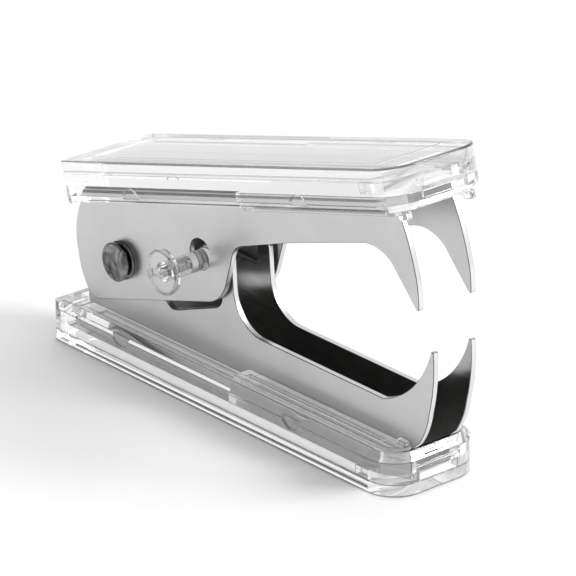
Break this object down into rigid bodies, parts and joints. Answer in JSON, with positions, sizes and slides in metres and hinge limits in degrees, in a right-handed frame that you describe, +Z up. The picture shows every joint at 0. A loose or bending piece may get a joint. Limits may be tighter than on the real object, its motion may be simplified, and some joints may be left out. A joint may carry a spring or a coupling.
{
  "type": "jaw staple remover",
  "caption": "Claw staple remover: two folded steel jaws on one sprung pivot under long clear covers, with a push-in lock pin that holds them closed.",
  "frame": {"origin": "middle of the lower cover's flat resting face, on the plane midway between the jaw walls", "axes": "+X from the pivot end to the fangs, +Z up from the resting face, +Y away from the lock pin's knob"},
  "size_m": [0.0883, 0.0243, 0.0555],
  "materials": {
    "jaw_steel": "polished stainless sheet, faint mill grain",
    "cover_clear": "clear polished acrylic",
    "clip_clear": "clear moulded acrylic, slight warm tint",
    "pin_steel": "turned steel",
    "cap_steel": "dark bright-plated pressed steel",
    "spacer_plastic": "natural nylon",
    "spring_steel": "drawn spring wire",
    "lock_clear": "clear moulded plastic, polished"
  },
  "bodies": {
    "lower_half": {"lower_jaw": "jaw_steel", "lower_cover_cap": "cover_clear", "lower_cover_frame": "cover_clear", "lower_cover_clip": "clip_clear", "pivot_pin": "pin_steel", "pivot_cap_near": "cap_steel", "pivot_cap_far": "cap_steel", "pivot_spacer_near": "spacer_plastic", "pivot_spacer_far": "spacer_plastic", "return_spring": "spring_steel"},
    "upper_half": {"upper_jaw": "jaw_steel", "upper_cover_cap": "cover_clear", "upper_cover_frame": "cover_clear", "upper_cover_clip": "clip_clear", "return_spring_arm": "spring_steel"},
    "lock": {"lock_pin": "lock_clear"}
  },
  "joints": [
    {"name": "jaw_hinge", "type": "hinge", "parent": "lower_half", "child": "upper_half", "pos_m": [-0.02845, 0, 0.0177], "axis": [0, 1, 0], "range_deg": [0, 15.5], "stiffness_Nm_per_rad": 1.2, "springref_deg": -14.9},
    {"name": "lock_push", "type": "slide", "parent": "upper_half", "child": "lock", "axis": [0, 1, 0], "range_m": [0, 0.0043]}
  ]
}
